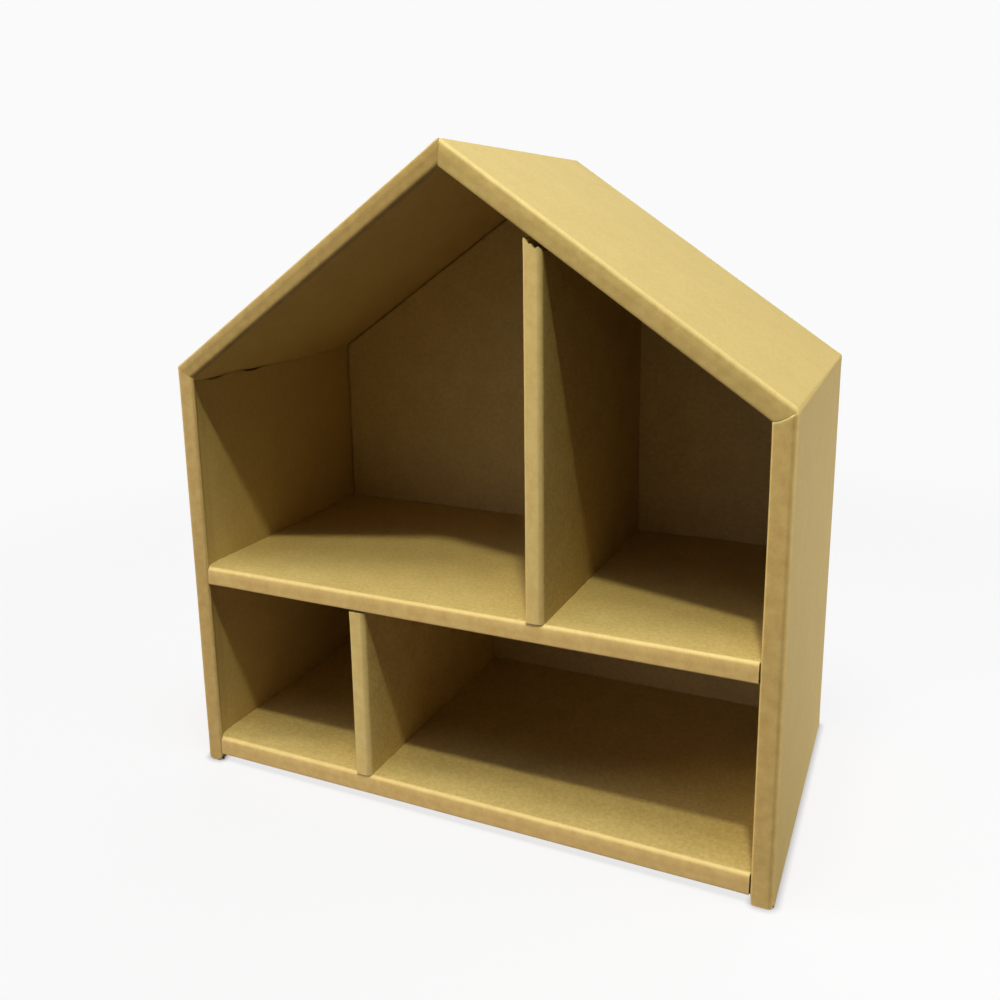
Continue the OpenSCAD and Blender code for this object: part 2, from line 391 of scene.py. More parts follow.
@dataclass(frozen=True)
class CutBoard(Finish):
    """Raw cut edge of corrugated board, crushed a little by the knife.

    It shows two pale liners with the fluted medium between them, and, where the knife went across the
    flutes, hollows painted dark as their shade; along the flutes there is only a dull, torn line.
    """

    name: str = "cut_board"
    pale: str = "#CDB98F"
    medium: str = "#A98D5C"
    # The flutes' hollows are painted dark: painted shade.
    hollow_shade: str = "#3F2E17"
    across_flutes: bool = True
    # The flutes' swing, and from where to where medium and liners fade, as shares of the thickness.
    swing: float = 0.33
    flute_edge: Ramp = (0.1, 0.2, 1.0, 0.0)
    liner_edge: Pair = (0.36, 0.42)
    # The knife's crushing: its width and detail, where it shows and how deep it is.
    crush: Pair = (1.2, 3.0)
    crush_limits: Ramp = (0.35, 0.7, 0.0, 0.5)
    crush_height_mm: float = 0.3
    crush_strength: float = 0.8
    roughness: float = 0.9
    ior: float = 1.45

    def nodes(self, tree: NodeTree, shader: Node) -> None:
        """Draws liners and flutes from the edge's own coordinates.

        Args:
            tree: the material's node tree.
            shader: its Principled shader.
        """
        add = partial(add_node, tree)
        along, through, _ = add("SeparateXYZ", (add("UVMap", uv_map="edge"),)).node.outputs
        centre = 0.5
        middle = centre
        if self.across_flutes:
            middle = add("Math", (flutes(tree, along), self.swing, centre), operation="MULTIPLY_ADD")
        off, rim = (
            add("Math", (add("Math", (through, at), operation="SUBTRACT"),), operation="ABSOLUTE")
            for at in (middle, centre))
        size, detail = self.crush
        crushed = add("TexNoise", {
            "Vector": add("TexCoord", out="Object"), "Scale": 1 / (size * MM), "Detail": detail})
        # The edge starts from the hollows' painted shade.
        colour = linear(self.hollow_shade)
        for share, over in (
            (add("MapRange", (off, *self.flute_edge)), self.medium),
            (add("MapRange", (rim, *self.liner_edge)), self.pale),
            (add("MapRange", (crushed, *self.crush_limits)), self.medium),
        ):
            colour = add("Mix", {0: share, 6: colour, 7: linear(over)}, 2, data_type="RGBA")
        relief = add("Bump", {
            "Height": crushed, "Distance": self.crush_height_mm * MM, "Strength": self.crush_strength})
        feed(shader, {"Base Color": colour, "Roughness": self.roughness, "IOR": self.ior, "Normal": relief})


# One liner in lit and shaded copies, one for each sheet: each is painted lighter or darker, as painted light
# and shade for more or less light than the lamps give that sheet. Light and dark, then light and dark of
# its front strips.
LEFT_ROOF = KraftLiner("kraft_liner_left_roof", strip_light_with_painted_light="#CDAD70", strip_dark_with_painted_light="#BD9B5F")
RIGHT_ROOF = KraftLiner("kraft_liner_right_roof", "#C9B27E", "#BEA672", "#DFC287", "#D0B175")
LEFT_WALL = KraftLiner("kraft_liner_left_wall", strip_light_with_painted_light="#E9C98D", strip_dark_with_painted_light="#DBB67B")
RIGHT_WALL = KraftLiner("kraft_liner_right_wall", strip_light_with_painted_light="#EFCF91", strip_dark_with_painted_light="#E1BD7F")
SHELF = KraftLiner("kraft_liner_shelf", "#D3BB84", "#BEA56E", "#F6D59A", "#EAC488")
BACK = KraftLiner("kraft_liner_back", "#E2CC98", "#D1BB87")
UPPER_DIVIDER = KraftLiner("kraft_liner_upper_divider", "#C5AD76", "#AD955E", "#FFE3A5", "#F6D494")
LOWER_DIVIDER = KraftLiner("kraft_liner_divider", "#E0C78B", "#C9AF72", "#FFE5A8", "#F7D797")
CUT_ACROSS = CutBoard()
CUT_ALONG = CutBoard("cut_board_along", across_flutes=False)


# ---- folded cross-sections

# Distances from a fold at which a flat stretch has its closer points.
NEAR_FOLD = (0.8, 2.0, 4.5)
# Share of a stretch that they may take at each end.
END_SHARE = 0.4
# Smallest radius that the inside of a fold keeps.
LEAST_RADIUS = 0.15
# How fast the folds' burnish and painted highlight fade along a bend, and how fast a front strip's painted
# light ends on it.
WEAR_AND_HIGHLIGHT_FADE = 0.7
STRIP_FADE = 2.5
# Depth in the board's skin at which a crease's sink has died away.
CREASE_DEPTH = 12.0
REAR_BEND: Bend = (1.8, 4, 0.0)


def left_of(v: Vector) -> Vector:
    """Returns a 2-D vector turned left by a right angle."""
    return Vector((-v.y, v.x))


def bend(a: Vector, b: Vector) -> float:
    """Returns the turn from one direction to the next, in radians and positive to the left."""
    return math.atan2(a.x * b.y - a.y * b.x, a.dot(b))


def beside(path: Sequence[Vector], t: float) -> list[Vector]:
    """Moves a path to its left by t, with mitred corners."""
    dirs = [(b - a).normalized() for a, b in zip(path, path[1:])]
    moved = []
    for i, p in enumerate(path):
        n1, n2 = left_of(dirs[max(i - 1, 0)]), left_of(dirs[min(i, len(dirs) - 1)])
        moved.append(p + (n1 + n2) * (t / (1 + n1.dot(n2))))
    return moved


def arc(p: Vector, q: Vector, s: Vector, radius: float, steps: int) -> list[Vector]:
    """Rounds the corner at q, between p and s.

    Args:
        p: the path's point before the corner.
        q: the corner.
        s: the path's point after it.
        radius: radius of the arc.
        steps: number of its segments.

    Returns:
        steps + 1 points.
    """
    d1, d2 = (q - p).normalized(), (s - q).normalized()
    a = bend(d1, d2)
    n = left_of(d1) * math.copysign(1.0, a)
    centre = q - d1 * (radius * math.tan(abs(a) / 2)) + n * radius
    return [centre + Matrix.Rotation(a * i / steps, 2) @ (n * -radius) for i in range(steps + 1)]


def spread(length: float, fine: Sequence[float], coarse: float) -> list[float]:
    """Splits a length so that it is fine near both ends and coarse between them.

    Args:
        length: the length to split.
        fine: distances from each end, rising.
        coarse: largest step between them.

    Returns:
        Rising positions strictly between 0 and length.
    """
    near = [d for d in fine if d < length * END_SHARE]
    first, last = (near[-1], length - near[-1]) if near else (0.0, length)
    count = max(1, math.ceil((last - first) / coarse))
    middle = [first + (last - first) * i / count for i in range(1, count)]
    return near + middle + [length - d for d in reversed(near)]


@dataclass(frozen=True)
class Fold:
    """One corner of a folded path: its place, outer radius, steps and how much burnish and painted highlight
    its paper takes.

    A spacing asks for points that much closer along the stretch that follows, and strip says that the
    stretch is a front strip, whose colour holds painted light.
    """

    at: Vector
    radius: float = 0.0
    steps: int = 1
    wear_and_highlight: float = 0.0
    spacing: float | None = None
    strip: bool = False


@dataclass
class Section:
    """Cross-section of a folded sheet: matching points on its outer and inner face."""

    outer: list[Vector] = field(default_factory=list)
    inner: list[Vector] = field(default_factory=list)
    wear_and_highlight: list[float] = field(default_factory=list)
    front: list[float] = field(default_factory=list)
    across: list[float] = field(default_factory=list)

    @classmethod
    def folded(cls, folds: Sequence[Fold], board: float, step: float) -> "Section":
        """Lays a sheet along a path, with its outer face on the path and its body to the left.

        Args:
            folds: corners of the path.
            board: thickness of the sheet.
            step: coarse spacing of the points on flat stretches.

        Returns:
            The section.
        """
        path = [f.at for f in folds]
        inside = beside(path, board)
        rounds = []
        for i, f in enumerate(folds):
            if not f.radius:
                rounds.append(([path[i]], [inside[i]]))
                continue
            turn = bend(path[i] - path[i - 1], path[i + 1] - path[i])
            inner = max(f.radius - math.copysign(board, turn), LEAST_RADIUS)
            pair = ((path, f.radius), (inside, inner))
            rounds.append([arc(*line[i - 1 : i + 2], radius, f.steps) for line, radius in pair])
        made = cls()
        for i, (f, (outs, ins)) in enumerate(zip(folds, rounds)):
            # Each point is marked with its fold's burnish and painted highlight, and with its share of the
            # front strips' painted light.
            before, after = float(i > 0 and folds[i - 1].strip), float(f.strip)
            for k, (p, q) in enumerate(zip(outs, ins)):
                share = k / (len(outs) - 1) if len(outs) > 1 else 0.5
                plain = max(0.0, 1 - before * (1 - share) - after * share)
                wear_and_highlight = f.wear_and_highlight * math.sin(math.pi * share) ** WEAR_AND_HIGHLIGHT_FADE if f.wear_and_highlight else 0.0
                made.add(p, q, wear_and_highlight, 1 - plain**STRIP_FADE)
            if i + 1 < len(rounds):
                (b, *_), (d, *_) = rounds[i + 1]
                a, c = outs[-1], ins[-1]
                length = (b - a).length
                for x in spread(length, NEAR_FOLD, f.spacing or step):
                    made.add(a.lerp(b, x / length), c.lerp(d, x / length), 0.0, after)
        return made

    def add(self, p: Vector, q: Vector, wear_and_highlight: float, front: float) -> None:
        """Adds a pair of points, and measures how far across the sheet they lie."""
        self.across.append(self.across[-1] + (p - self.outer[-1]).length if self.outer else 0.0)
        self.outer.append(p)
        self.inner.append(q)
        self.wear_and_highlight.append(wear_and_highlight)
        self.front.append(front)


def ripple(at: Vector, size: float, seed: float) -> float:
    """Smooth noise from 0 to 1 over distances of about size, in millimetres."""
    return 0.5 + 0.5 * noise.noise(Vector((at.x / size + seed, at.y / size, at.z / size)))


def bump(x: float, centre: float, width: float) -> float:
    """Smooth hill from 0 to 1 and back, as wide as given at its foot."""
    share = abs(x - centre) / (width / 2)
    return 0.0 if share >= 1 else (1 - share * share) ** 2


def crease_in(p: Vector, away: float, radius: float, half_turn: float) -> Vector:
    """Moves a skin's point inwards where the wrap bends over a crease.

    Args:
        p: point of the section, with its first coordinate inwards from the outer face.
        away: distance from the crease.
        radius: radius of the crease.
        half_turn: half the angle that it turns through.

    Returns:
        The moved point.
    """
    run = radius * math.tan(half_turn)
    if away >= run:
        return p
    sink = (run - max(0.0, away)) ** 2 / (2 * radius)
    return Vector((p.x + sink * max(0.0, 1 - p.x / CREASE_DEPTH), p.y))


# ---- meshes of board

# Distance in metres within which a piece's points are one.
WELD = 1e-7


class Cover(IntEnum):
    """What a face shows: paper, or board that is cut across or along its flutes."""

    PAPER = 0
    ACROSS = 1
    ALONG = 2


@dataclass
class SheetMesh:
    """A piece of board while it is being made: its points, faces and what its finishes read."""

    flip: bool = False
    verts: list[Vector] = field(default_factory=list)
    faces: list[tuple[int, ...]] = field(default_factory=list)
    covers: list[int] = field(default_factory=list)
    edge_uv: list[Pair] = field(default_factory=list)
    marks: defaultdict[str, list[float]] = field(default_factory=lambda: defaultdict(list))

    def point(self, at: Vector, **marks: float) -> int:
        """Adds a point, in millimetres and with its marks, and returns its number."""
        self.verts.append(at * MM)
        for key, value in marks.items():
            self.marks[key].append(value)
        return len(self.verts) - 1

    def quad(self, ids: Sequence[int], cover: Cover = Cover.PAPER,
             uvs: Sequence[Pair] = ((0.0, 0.0),) * 4) -> None:
        """Adds a four-sided face with its coordinates on a cut edge."""
        self.faces.append(tuple(reversed(ids)) if self.flip else tuple(ids))
        self.covers.append(int(cover))
        self.edge_uv.extend(reversed(uvs) if self.flip else uvs)

    def rim(self, outer: tuple[int, int], inner: tuple[int, int], span: Pair, cover: Cover,
            turned: bool = False) -> None:
        """Adds a cut edge.

        Args:
            outer: its two points on the board's outer face.
            inner: the points across from them on the inner face.
            span: how far along the edge they lie, in millimetres.
            cover: how the board is cut.
            turned: whether the edge faces the other way.
        """
        x0, x1 = (x * MM for x in span)
        ids, uvs = (outer[0], *inner, outer[1]), ((x0, 0.0), (x0, 1.0), (x1, 1.0), (x1, 0.0))
        if turned:
            ids, uvs = ids[:1] + ids[:0:-1], uvs[:1] + uvs[:0:-1]
        self.quad(ids, cover, uvs)

    def mesh(self, name: str) -> Mesh:
        """Makes a smooth mesh with sharp cut edges and the attributes that the finishes read.

        Args:
            name: the mesh's name.

        Returns:
            The mesh, in metres.
        """
        mesh = bpy.data.meshes.new(name)
        mesh.from_pydata([tuple(v) for v in self.verts], [], self.faces)
        mesh.polygons.foreach_set("material_index", self.covers)
        mesh.polygons.foreach_set("use_smooth", [True] * len(self.faces))
        mesh.uv_layers.new(name="edge").data.foreach_set("uv", [c for uv in self.edge_uv for c in uv])
        for key, values in self.marks.items():
            mesh.attributes.new(key, "FLOAT", "POINT").data.foreach_set("value", values)
        work = bmesh.new()
        work.from_mesh(mesh)
        bmesh.ops.remove_doubles(work, verts=work.verts, dist=WELD)
        for e in work.edges:
            e.smooth = len({f.material_index for f in e.link_faces}) == 1
        work.to_mesh(mesh)
        work.free()
        mesh.validate()
        return mesh


@dataclass(frozen=True)
class Box:
    """A small upright block, from its lowest to its highest corner; y is the depth from the front."""

    low: Triple
    high: Triple

    def grown(self, by: float) -> "Box":
        """Returns the box, larger by a clearance on every side."""
        return Box(tuple(v - by for v in self.low), tuple(v + by for v in self.high))

    def mesh(self, name: str, round_edges: float = 0.0) -> Mesh:
        """Makes the block's mesh.

        Args:
            name: name of the mesh.
            round_edges: radius of its edges, in millimetres.

        Returns:
            The mesh, in metres.
        """
        mesh = bpy.data.meshes.new(name)
        work = bmesh.new()
        bmesh.ops.create_cube(work, size=1.0)
        size = Vector(self.high) - Vector(self.low)
        centre = (Vector(self.high) + Vector(self.low)) / 2 - Vector((0, HOUSE.depth / 2, 0))
        for v in work.verts:
            v.co = Vector(a * b + c for a, b, c in zip(v.co, size, centre)) * MM
        if round_edges:
            bmesh.ops.bevel(work, geom=work.edges[:], offset=round_edges * MM, segments=2, affect="EDGES")
        work.to_mesh(mesh)
        work.free()
        return mesh


def linked(name: str, data: bpy.types.ID) -> Object:
    """Returns a new object for a mesh, lamp or camera, linked to the scene."""
    made = bpy.data.objects.new(name, data)
    bpy.context.scene.collection.objects.link(made)
    return made


def dressed(name: str, mesh: Mesh, *finishes: Finish) -> Object:
    """Returns a new object for a mesh with its finishes, one for each kind of cover."""
    for finish in finishes:
        mesh.materials.append(finish.material())
    return linked(name, mesh)


def seat(piece: Object, node: str, slot: str) -> None:
    """Puts a finished piece on the house, for a node of the CAD model, which it hides."""
    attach(piece, ROOT)
    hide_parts(node)
    log.info("%s: %d faces", piece.name, len(piece.data.polygons))


# ---- folded pieces


@dataclass
class FoldedPiece(ABC):
    """A sheet swept from its folded section; each kind of piece says how far and where it lies."""

    node: str
    slot: str
    finish: Finish
    step: float = 7.0
    fine: tuple[float, ...] = (0.2, 0.5, 0.9, 1.4, 2.2, 3.6, 5.5, 9.0)
    # The sheet's bow and its folds' waver: height, then size and seed of the noise.
    bow: float = 0.35
    bow_noise: Pair = (130.0, 3.1)
    waver: float = 0.2
    waver_noise: Pair = (21.0, 7.7)
    # Distance from its ends over which a sheet is too stiff to bow.
    stiff: float = 14.0
    mirrored: bool = False

    @abstractmethod
    def section(self) -> Section:
        """Returns the folded cross-section."""

    @abstractmethod
    def reach(self, p: Vector) -> Pair:
        """Returns where the sheet starts and ends along its length, at a point of the section."""

    @abstractmethod
    def place(self, p: Vector, along: float) -> Vector:
        """Returns the place in the house, in millimetres, of a section point at a distance along."""

    def soften(self, p: Vector, from_start: float, to_end: float) -> Vector:
        """Moves a section point near the sheet's ends; a plain sheet stays as it is."""
        return p

    def wear_and_highlight_at(self, p: Vector, from_start: float, to_end: float) -> float:
        """Says how much painted highlight and burnish the paper takes near the sheet's ends; a plain sheet
        takes none.
        """
        return 0.0

    def stations(self) -> list[Triple]:
        """Lists the sweep's steps as shares of start and end, and a distance in millimetres."""
        near = [(1.0, 0.0, d) for d in (0.0, *self.fine)]
        far = [(0.0, 1.0, -d) for _, _, d in reversed(near)]
        a, b = self.reach(self.section().outer[0])
        count = max(2, math.ceil((b - a) / self.step))
        middle = [(1 - i / count, i / count, self.fine[-1] * (1 - 2 * i / count)) for i in range(1, count)]
        return near + middle + far

    def span(self, p: Vector, station: Triple) -> Triple:
        """Returns the sheet's start and end at a point of the section, and the station's distance along."""
        a, b = self.reach(p)
        return a, b, a * station[0] + b * station[1] + station[2]

    def surface(self, p: Vector, inward: Vector, wear_and_highlight: float,
                station: Triple) -> tuple[Vector, float]:
        """Finds a point of the swept sheet, with its bow, waver and soft ends.

        Args:
            p: point of the section.
            inward: direction from the sheet's outer to its inner face.
            wear_and_highlight: burnish and painted highlight of the fold that the point is on.
            station: step of the sweep.

        Returns:
            Its place in millimetres, and how much burnish and painted highlight its paper takes.
        """
        a, b, along = self.span(p, station)
        rough = self.place(p, along)
        quiet = max(0.0, min(1.0, (along - a) / self.stiff, (b - along) / self.stiff))
        push = self.bow * ripple(rough, *self.bow_noise) * quiet
        push += self.waver * ripple(rough, *self.waver_noise) * wear_and_highlight
        moved = self.soften(p + inward * push, along - a, b - along)
        a, b, along = self.span(moved, station)
        return self.place(moved, along), max(wear_and_highlight, self.wear_and_highlight_at(p, along - a, b - along))

    def build(self) -> Object:
        """Sweeps the section to a closed mesh, dresses it and puts it on the house.

        Returns:
            The new object.
        """
        section, stations = self.section(), self.stations()
        inward = [(q - p).normalized() for p, q in zip(section.outer, section.inner)]
        sheet = SheetMesh(flip=not self.mirrored)
        for station in stations:
            for face in (section.outer, section.inner):
                for i, p in enumerate(face):
                    at, wear_and_highlight = self.surface(p, inward[i], section.wear_and_highlight[i], station)
                    crease = wear_and_highlight if face is section.outer else 0.0
                    sheet.point(at, crease=crease, front=section.front[i], across=section.across[i] * MM)
        n = len(inward)
        edge = n - 1
        last = 2 * n * (len(stations) - 1)
        for j in range(len(stations) - 1):
            o, p = 2 * n * j, 2 * n * (j + 1)
            for i in range(edge):
                sheet.quad((o + i, p + i, p + i + 1, o + i + 1))
                sheet.quad((o + n + i, o + n + i + 1, p + n + i + 1, p + n + i))
            span = (j * self.step, (j + 1) * self.step)
            sheet.rim((o, p), (o + n, p + n), span, Cover.ALONG)
            sheet.rim((o + edge, p + edge), (o + n + edge, p + n + edge), span, Cover.ALONG, turned=True)
        for i in range(edge):
            for o, turned in ((i, True), (last + i, False)):
                sheet.rim((o, o + 1), (o + n, o + n + 1), section.across[i : i + 2], Cover.ACROSS, turned)
        name = self.node + "_sheet"
        piece = dressed(name, sheet.mesh(name), self.finish, CUT_ACROSS, CUT_ALONG)
        seat(piece, self.node, self.slot)
        return piece


@dataclass(frozen=True)
class Eave:
    """How wall and roof meet on one side: the wrap's crease, the mitre and the lip of the wall's strip."""

    front_radius: float = 6.0
    rear_radius: float = 2.5
    # Share of the depth over which the crease turns crisp.
    crisp_at: float = 0.7
    # How far the roof's strip laps over the wall's, and how much of that the wall's strip gives way.
    lap: float = 0.3
    give: float = 0.95
    # The rolled lip of the wall's strip: its size, its roll, the strength of its painted highlight and
    # burnish, and its depth.
    lip: float = 0.0
    lip_roll: float = 0.4
    lip_wear_and_highlight: float = 1.7
    lip_depth: float = 1.0
    seam: float = 0.04

    def radius(self, y: float) -> float:
        """Returns the crease's radius at the depth y; it is soft in front and crisp behind."""
        share = max(0.0, min(1.0, y / (HOUSE.depth * self.crisp_at)))
        return self.front_radius + (self.rear_radius - self.front_radius) * share

    def bulge(self, share: float) -> float:
        """Returns how far the roof strip's rounded end laps past the mitre, from outer to inner end."""
        return self.lap * 4 * max(0.0, share * (1 - share))


EAVES = {Hand.LEFT: Eave(), Hand.RIGHT: Eave(front_radius=7.0, lap=1.7, lip=1.8, seam=0.03)}


@dataclass
class WrapSide(FoldedPiece):
    """One side of the wrap, whose right hand is the mirror image of the left."""

    hand: Hand = Hand.LEFT

    def __post_init__(self) -> None:
        """Takes the handedness of the mesh from the side of the house."""
        self.mirrored = self.hand is Hand.RIGHT

    @property
    def eave(self) -> Eave:
        """The eave that the side meets."""
        return EAVES[self.hand]


@dataclass
class Wall(WrapSide):
    """One wall of the wrap: skin, rolled front strip and lining."""

    front_fold: Bend = (5.0, 9, 0.1)
    # The lining's bends, from the strip's inner fold to the back.
    bends: tuple[Bend, ...] = (
        (1.8, 8, 0.15), (6, 4, 0.0), (9, 4, 0.0), (50, 3, 0.0), (50, 3, 0.0), (40, 4, 0.0))
    # Width and height of the trimmed corners at the foot of the front strip.
    outer_trim: Pair = (8.0, 4.4)
    inner_trim: Pair = (6.0, 5.2)
    # Places and lengths of the cracks where the lining's top end stays off the roof's lining.
    cracks: tuple[Pair, ...] = ((34.0, 44.0), (88.0, 42.0))
    crack: float = 2.8

    def section(self) -> Section:
        """Returns the wall's section: distance from the outer face, then depth."""
        h = HOUSE
        folds = [Fold(Vector((0, h.depth))), Fold(Vector((0, 0)), *self.front_fold, strip=True)]
        folds += [Fold(p, *b) for p, b in zip(h.wall_line, self.bends)] + [Fold(h.wall_line[-1])]
        return Section.folded(folds, h.board, self.step)

    def reach(self, p: Vector) -> Pair:
        """Returns the heights of foot and top at a point of the section."""
        h = HOUSE
        u, y = p
        low = 0.0
        if y < h.strip_depth:
            for away, (wide, high) in ((u, self.outer_trim), (h.wall_front - u, self.inner_trim)):
                low = max(low, high * (1 - max(0.0, away) / wide))
        if u > h.strip_depth and y > h.strip_depth:
            under = h.eave + u * h.slope - h.roof_face(y) / math.cos(h.pitch)
            open_by = sum(bump(y, centre, width) for centre, width in self.cracks) * self.crack
            return low, under - h.seam - open_by
        gap = 0.0
        if y <= h.strip_depth:
            gap = self.eave.seam / 2 + self.eave.give * self.eave.bulge(u / h.wall_front)
        return low, h.mitre(u) - gap

    def soften(self, p: Vector, from_start: float, to_end: float) -> Vector:
        """Rounds the wrap's crease at the eaves, and rolls the top edge of the front strip."""
        lip = self.eave.lip
        rounded = crease_in(p, to_end, self.eave.radius(p.y), (math.pi / 2 - HOUSE.pitch) / 2)
        if p.y > self.eave.lip_depth or to_end >= lip:
            return rounded
        return rounded + Vector((0, lip * self.eave.lip_roll * (1 - max(0.0, to_end) / lip) ** 2))

    def wear_and_highlight_at(self, p: Vector, from_start: float, to_end: float) -> float:
        """The lip of the front strip's top takes the pale fold colour: burnish, with a painted highlight
        along it.
        """
        lip = self.eave.lip
        wear_and_highlight = max(0.0, min(1.0, self.eave.lip_wear_and_highlight - to_end / lip)) if lip else 0.0
        return wear_and_highlight if p.y < self.eave.lip_depth else 0.0

    def place(self, p: Vector, along: float) -> Vector:
        """Returns the place of a point of the wall."""
        h = HOUSE
        return Vector((self.hand.value * (h.half - p.x), p.y - h.depth / 2, along))


@dataclass
class RoofSide(WrapSide):
    """One side of the roof: skin, rolled front strip and a lining that rests on the wall's."""

    # Corners of the rolled front strip: distance from the outer face and depth, and how they bend.
    strip: tuple[tuple[Pair, Bend], ...] = (
        ((0.0, 0.8), (2.8, 9, 0.4)), ((6.0, 0.0), (30.0, 9, 0.0)), ((19.8, 0.0), (5.0, 9, 0.0)))
    bends: tuple[Bend, ...] = ((60, 4, 0.0), (60, 4, 0.0), (60, 4, 0.0), (40, 4, 0.0))
    ridge_crease: float = 3.0
    # What a point of the skin may stick out.
    hair: float = 0.1

    def section(self) -> Section:
        """Returns the roof side's section: distance from the outer face, then depth."""
        h = HOUSE
        folds = [Fold(Vector((0, h.depth)))]
        folds += [Fold(Vector(at), *b, strip=i < len(self.strip)) for i, (at, b) in enumerate(self.strip, 1)]
        folds += [Fold(p, *b) for p, b in zip(h.roof_line[1:], self.bends)] + [Fold(h.roof_line[-1])]
        return Section.folded(folds, h.board, self.step)

    def reach(self, p: Vector) -> Pair:
        """Returns where the roof side starts and ends, measured up the slope from the eaves."""
        h = HOUSE
        w, y = p
        sin, cos = math.sin(h.pitch), math.cos(h.pitch)
        inner = (h.wall_front - h.roof_front * sin) / cos
        skin = w <= h.board + self.hair and y > h.board
        gap = 0.0 if skin else self.eave.seam / 2
        low = w * inner / h.roof_front + gap
        if y <= h.strip_depth:
            low -= self.eave.bulge(w / h.roof_front)
        elif w > h.strip_depth:
            low = (h.board + h.seam - w * sin) / cos
        return low, (h.half - gap - w * sin) / cos

    def soften(self, p: Vector, from_start: float, to_end: float) -> Vector:
        """Rounds the creases at the eaves and the ridge."""
        at_eave = crease_in(p, from_start, self.eave.radius(p.y), (math.pi / 2 - HOUSE.pitch) / 2)
        return crease_in(at_eave, to_end, self.ridge_crease, HOUSE.pitch)

    def place(self, p: Vector, along: float) -> Vector:
        """Returns the place of a point of the roof side."""
        h = HOUSE
        sin, cos = math.sin(h.pitch), math.cos(h.pitch)
        u = along * cos + p.x * sin
        return Vector((self.hand.value * (h.half - u), p.y - h.depth / 2, h.eave + along * sin - p.x * cos))


@dataclass
class Sleeve(FoldedPiece):
    """A flat sleeve, closed by its rear strip, with tabs of single board through the back."""

    thick: float = 15.8
    tab: float = 50.0
    tab_round: float = 0.35

    @abstractmethod
    def tabs(self) -> list[Box]:
        """Lists the tabs that go through the back."""

    def tab_board(self, name: str, box: Box) -> Object:
        """Makes a tab: paper on its two broad faces and cut board on its edges.

        Args:
            name: the tab's name.
            box: where it stands.

        Returns:
            The new object.
        """
        mesh = box.mesh(name, self.tab_round)
        size = [b - a for a, b in zip(box.low, box.high)]
        thin, wide = size.index(min(size)), size.index(max(size))
        layer = mesh.uv_layers.new(name="edge")
        low = (Vector(box.low) - Vector((0, HOUSE.depth / 2, 0))) * MM
        for f in mesh.polygons:
            f.material_index = Cover.PAPER if abs(f.normal[thin]) > 0.5 else Cover.ACROSS
            f.use_smooth = True
            for k in f.loop_indices:
                at = mesh.vertices[mesh.loops[k].vertex_index].co
                layer.data[k].uv = (at[wide], (at[thin] - low[thin]) / (size[thin] * MM))
        piece = dressed(name, mesh, self.finish, CUT_ACROSS)
        seat(piece, self.node, self.slot)
        return piece


@dataclass
class Shelf(Sleeve):
    """A sleeve across the house: top skin, front strip, bottom skin and rear strip."""

    bottom: float = 0.0
    left_gap: float = 0.1
    right_gap: float = 0.9
    # The front strip leans back: how far at its top and, below that, where it is nearly upright.
    top_back: float = 1.2
    upright_back: float = 0.3
    upright_at: float = 6.0
    top_bend: Bend = (3.6, 9, 0.6)
    upright_bend: Bend = (30.0, 4, 0.0)
    foot_bend: Bend = (1.2, 6, 0.3)
    tab_place: float = 0.3

    def section(self) -> Section:
        """Returns the sleeve's section: depth, then height."""
        h = HOUSE
        y, z0, z1 = h.room_depth - h.seam, self.bottom, self.bottom + self.thick
        return Section.folded([
            Fold(Vector((y, z1))),
            Fold(Vector((self.top_back, z1)), *self.top_bend, strip=True),
            Fold(Vector((self.upright_back, z1 - self.upright_at)), *self.upright_bend, strip=True),
            Fold(Vector((0, z0)), *self.foot_bend),
            Fold(Vector((y, z0)), *REAR_BEND),
            Fold(Vector((y, z1 - h.board - h.seam))),
        ], h.board, self.step)

    def reach(self, p: Vector) -> Pair:
        """Returns the left and right end at a point of the section."""
        face = HOUSE.wall_face(p.x)
        return face + self.left_gap - HOUSE.half, HOUSE.half - face - self.right_gap

    def place(self, p: Vector, along: float) -> Vector:
        """Returns the place of a point of the shelf."""
        return Vector((along, p.x - HOUSE.depth / 2, p.y))

    def tabs(self) -> list[Box]:
        """Lists the tabs that go through the back."""
        h = HOUSE
        top, near, far = self.bottom + self.thick, h.room_depth - h.tab_root, h.room_depth + h.tab_reach
        return [
            Box((x - self.tab / 2, near, top - h.board), (x + self.tab / 2, far, top))
            for x in (-h.width * self.tab_place, h.width * self.tab_place)
        ]


